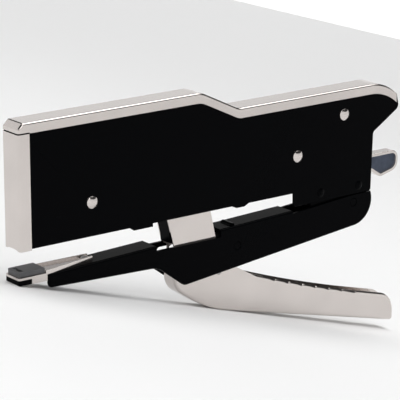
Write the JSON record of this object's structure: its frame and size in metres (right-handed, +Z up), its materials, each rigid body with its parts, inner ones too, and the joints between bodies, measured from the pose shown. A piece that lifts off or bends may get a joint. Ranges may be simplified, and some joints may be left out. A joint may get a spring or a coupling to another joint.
{
  "type": "stapler",
  "caption": "Hand plier stapler: a slim black casing with a nickel cover, a swinging anvil arm and a squeeze lever that drives the hammer and blade down on the staples.",
  "frame": {"origin": "on the table, under the middle of the whole stapler between its nose and the end of the squeeze lever", "axes": "+Z up from the table; +X from the nose towards the rear; Y across the stapler. The casing leans nose down by 17 degrees, because the stapler stands on the toe of its anvil and on the knee of its lever"},
  "size_m": [0.1906, 0.0108, 0.0916],
  "materials": {
    "black_enamel": "glossy black enamel",
    "nickel_plate": "bright nickel plate",
    "plain_steel": "plain steel",
    "hard_steel": "hardened steel",
    "staple_wire": "galvanised wire",
    "spring_steel": "spring steel",
    "pusher_steel": "pressed steel",
    "pull_steel": "pressed steel, dark in its dish"
  },
  "bodies": {
    "body": {"left_side_plate": "black_enamel", "right_side_plate": "black_enamel", "top_cover": "nickel_plate", "front_cover": "nickel_plate", "body_rivets": "nickel_plate", "ear_rivets": "black_enamel", "spacer_sleeves": "plain_steel", "hammer_bush": "plain_steel", "hinge_pin": "black_enamel", "magazine_channel": "plain_steel", "staple_strip": "staple_wire", "paper_stop": "black_enamel", "blade_guide": "plain_steel", "spring_seat": "plain_steel", "hammer_spring": "spring_steel", "hinge_bracket": "black_enamel"},
    "pull": {"pull_loop": "pull_steel", "guide_rod": "plain_steel", "rear_plug": "plain_steel", "pusher_spring": "spring_steel"},
    "pusher": {"staple_pusher": "pusher_steel"},
    "hammer": {"hammer_lever": "nickel_plate", "hammer_nose": "plain_steel"},
    "driver": {"driver_blade": "hard_steel"},
    "arm": {"lower_arm": "black_enamel", "anvil_plate": "nickel_plate", "clinch_anvil": "hard_steel", "anvil_shoe": "black_enamel", "anvil_rivet": "plain_steel", "lever_pivot_pin": "black_enamel"},
    "lever": {"handle_lever": "nickel_plate", "lever_hook": "plain_steel", "hook_rivets": "plain_steel", "link_pin": "plain_steel"}
  },
  "joints": [
    {"name": "lever_pivot", "type": "hinge", "parent": "arm", "child": "lever", "pos_m": [0.0091, 0, 0.02417], "axis": [0, -1, 0], "range_deg": [0, 18.85], "stiffness_Nm_per_rad": 1, "springref_deg": -28.65},
    {"name": "arm_hinge", "type": "hinge", "parent": "body", "child": "arm", "pos_m": [0.05956, 0, 0.0466], "axis": [0, 1, 0], "range_deg": [0, 2.83]},
    {"name": "hammer_pivot", "type": "hinge", "parent": "body", "child": "hammer", "pos_m": [0.0449, 0, 0.078], "axis": [0, -1, 0], "range_deg": [0, 2.62], "deforming": ["hammer_spring"]},
    {"name": "driver_slide", "type": "slide", "parent": "body", "child": "driver", "axis": [0.2906, 0, -0.9568], "range_m": [0, 0.0064]},
    {"name": "pull_slide", "type": "slide", "parent": "body", "child": "pull", "axis": [0.9568, 0, 0.2906], "range_m": [0, 0.085]},
    {"name": "pusher_slide", "type": "slide", "parent": "pull", "child": "pusher", "axis": [0.9568, 0, 0.2906], "range_m": [0, 0.04], "stiffness_N_per_m": 20, "springref_m": -0.1, "deforming": ["pusher_spring"]}
  ],
  "couplings": [
    {"joint": "arm_hinge", "follows": "lever_pivot", "ratio": 0.1501},
    {"joint": "hammer_pivot", "follows": "lever_pivot", "ratio": 0.1389},
    {"joint": "driver_slide", "follows": "lever_pivot", "m_per_rad": 0.01945}
  ]
}
